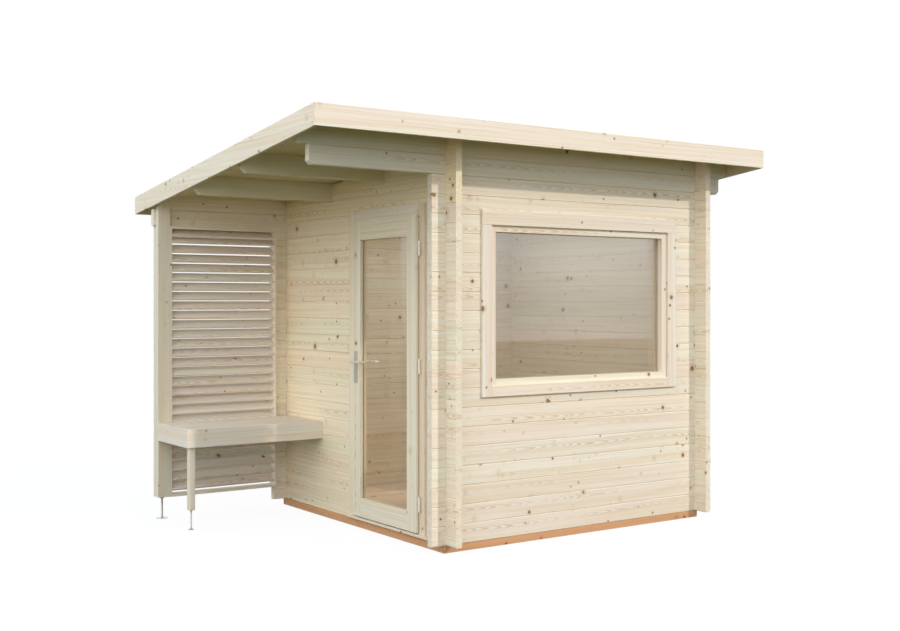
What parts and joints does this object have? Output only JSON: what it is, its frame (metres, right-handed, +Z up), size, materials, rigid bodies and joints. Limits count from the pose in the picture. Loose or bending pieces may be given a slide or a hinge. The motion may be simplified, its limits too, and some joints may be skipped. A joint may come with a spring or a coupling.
{
  "type": "outdoor sauna cabin",
  "caption": "Small hollow log cabin with a low sloping roof, a fixed window, a hinged glazed door and a roofed side terrace with a bench and a louvred screen.",
  "frame": {"origin": "centre of the roof's outline in plan, at the level of the ground under the base beams", "axes": "+X along the window wall away from the terrace, +Y from the window wall to the back wall, +Z up"},
  "size_m": [3.429, 2.625, 2.4928],
  "materials": {
    "spruce": "untreated sawn and planed spruce",
    "base_wood": "brown impregnated softwood",
    "floor_wood": "untreated spruce boards",
    "roof_wood": "untreated spruce boards",
    "roof_felt": "matt bitumen sheet",
    "glass": "clear, lightly bronze tinted",
    "steel": "satin stainless and zinc"
  },
  "bodies": {
    "cabin": {"base_beams": "base_wood", "floor_boards": "floor_wood", "wall_front_below": "spruce", "wall_front_left": "spruce", "wall_front_right": "spruce", "wall_front_above": "spruce", "beam_front_lower": "spruce", "beam_front_upper": "spruce", "wall_left_front": "spruce", "wall_left_back": "spruce", "wall_left_above": "spruce", "wall_right": "spruce", "wall_back": "spruce", "beam_back_lower": "spruce", "beam_back_upper": "spruce", "purlins": "spruce", "roof_boards": "roof_wood", "roof_cover": "roof_felt", "fascia_front": "spruce", "fascia_back": "spruce", "fascia_left": "spruce", "fascia_right": "spruce", "post": "spruce", "louvre_screen": "spruce", "bench_seat": "spruce", "bench_apron": "spruce", "bench_battens": "spruce", "bench_leg": "spruce", "screw_feet": "steel", "window_frame": "spruce", "window_glass": "glass", "casing_sides": "spruce", "casing_top": "spruce", "casing_bottom": "spruce", "door_jamb_hinge": "spruce", "door_jamb_lock": "spruce", "door_head": "spruce", "door_sill": "spruce", "door_stops": "spruce", "hinge_pins": "steel"},
    "door": {"door_leaf": "spruce", "door_glass": "glass", "hinge_knuckles": "steel", "handle_outer": "steel", "handle_inner": "steel"}
  },
  "joints": [
    {"name": "door_hinge", "type": "hinge", "parent": "cabin", "child": "door", "pos_m": [-0.7145, -0.7635, 1.082], "axis": [0, 0, 1], "range_deg": [0, 145]}
  ]
}
